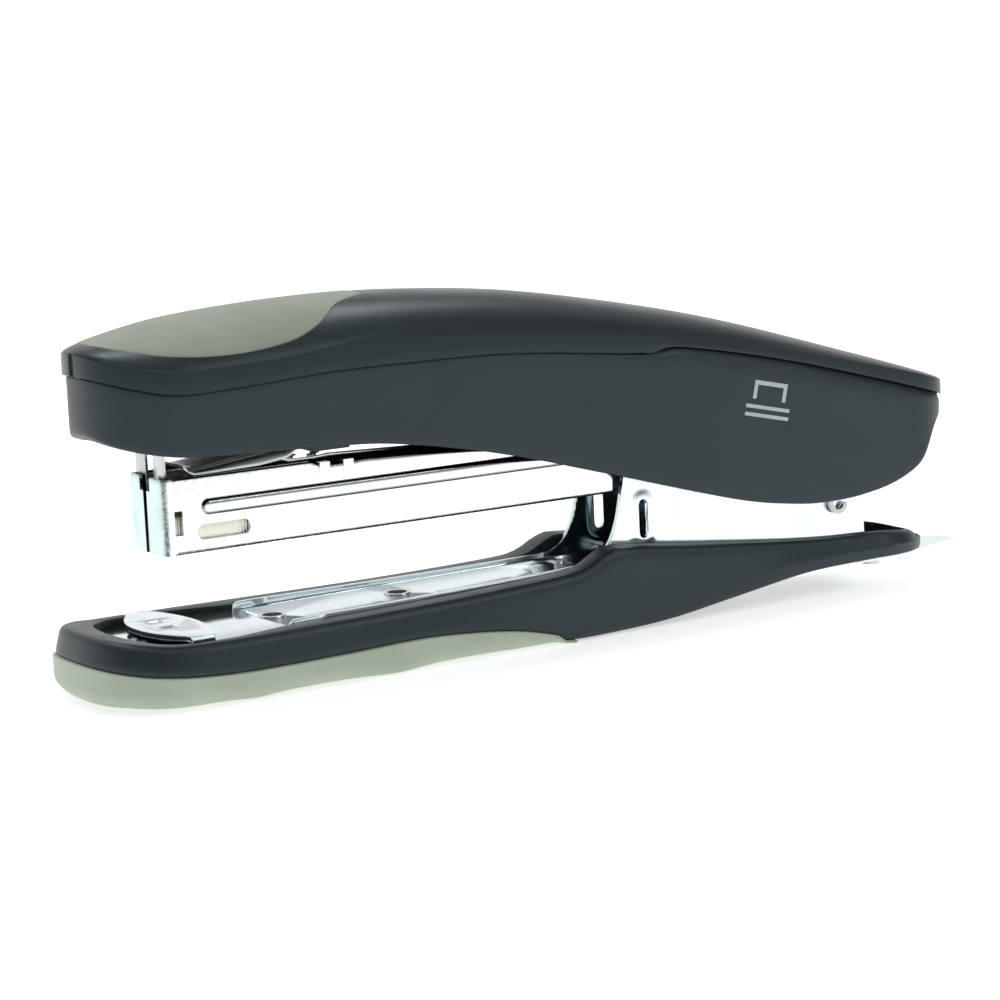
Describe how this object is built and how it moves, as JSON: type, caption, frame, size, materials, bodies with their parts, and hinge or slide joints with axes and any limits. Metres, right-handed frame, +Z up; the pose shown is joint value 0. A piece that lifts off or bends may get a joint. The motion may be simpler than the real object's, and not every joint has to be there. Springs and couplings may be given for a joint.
{
  "type": "desktop stapler",
  "caption": "Full-strip desktop stapler with a soft-grip handle, open-top staple channel, steel base frame and a staple remover at its tail.",
  "frame": {"origin": "centre of the footprint on the table, at the underside of the rubber sole", "axes": "+X from the nose to the tail, +Y across the stapler, +Z up"},
  "size_m": [0.2092, 0.0438, 0.0733],
  "materials": {
    "black_plastic": "fine moulded texture",
    "cap_plastic": "satin moulded",
    "charcoal_plastic": "fine moulded texture",
    "soft_grip": "soft matte, khaki",
    "sole_rubber": "matte, khaki",
    "nickel": "bright nickel plate",
    "steel": "plain sheet steel",
    "spring_steel": "spring steel",
    "fastener": "zinc plate",
    "staple_wire": "glued wire strip",
    "nylon": "black nylon"
  },
  "bodies": {
    "base": {"base_shell": "black_plastic", "base_pad": "sole_rubber", "base_frame": "nickel", "base_rivets": "fastener", "base_screws": "fastener", "anvil_plate": "nickel", "remover_blade": "nickel", "remover_screws": "fastener", "hinge_pin": "fastener", "lift_spring": "spring_steel"},
    "magazine": {"magazine_cover": "nickel", "magazine_rivets": "fastener", "staple_rail": "steel", "staple_strip": "staple_wire", "guide_rod": "steel", "rod_anchor": "steel", "pusher_spring": "spring_steel", "channel_clip": "nickel"},
    "follower": {"pusher": "steel"},
    "handle": {"top_cap": "cap_plastic", "grip_inlay": "soft_grip", "handle_housing": "charcoal_plastic", "handle_frame": "steel", "driver_blade": "nickel", "driver_block": "nylon", "driver_rivets": "fastener", "return_leaf": "spring_steel", "leaf_holder": "nylon", "leaf_screw": "fastener", "hinge_spring": "spring_steel", "cap_screws": "fastener"}
  },
  "joints": [
    {"name": "magazine_press", "type": "hinge", "parent": "base", "child": "magazine", "pos_m": [0.06605, 0, 0.036], "axis": [0, 1, 0], "range_deg": [-5.2, 0], "stiffness_Nm_per_rad": 1.5, "springref_deg": 20.05, "deforming": ["lift_spring"]},
    {"name": "handle_lift", "type": "hinge", "parent": "magazine", "child": "handle", "pos_m": [0.06605, 0, 0.036], "axis": [0, 1, 0], "range_deg": [-3, 42], "stiffness_Nm_per_rad": 1, "springref_deg": 6.88},
    {"name": "pusher_slide", "type": "slide", "parent": "magazine", "child": "follower", "axis": [1, 0, 0], "range_m": [0, 0.07], "stiffness_N_per_m": 40, "springref_m": -0.1, "deforming": ["pusher_spring"]}
  ]
}
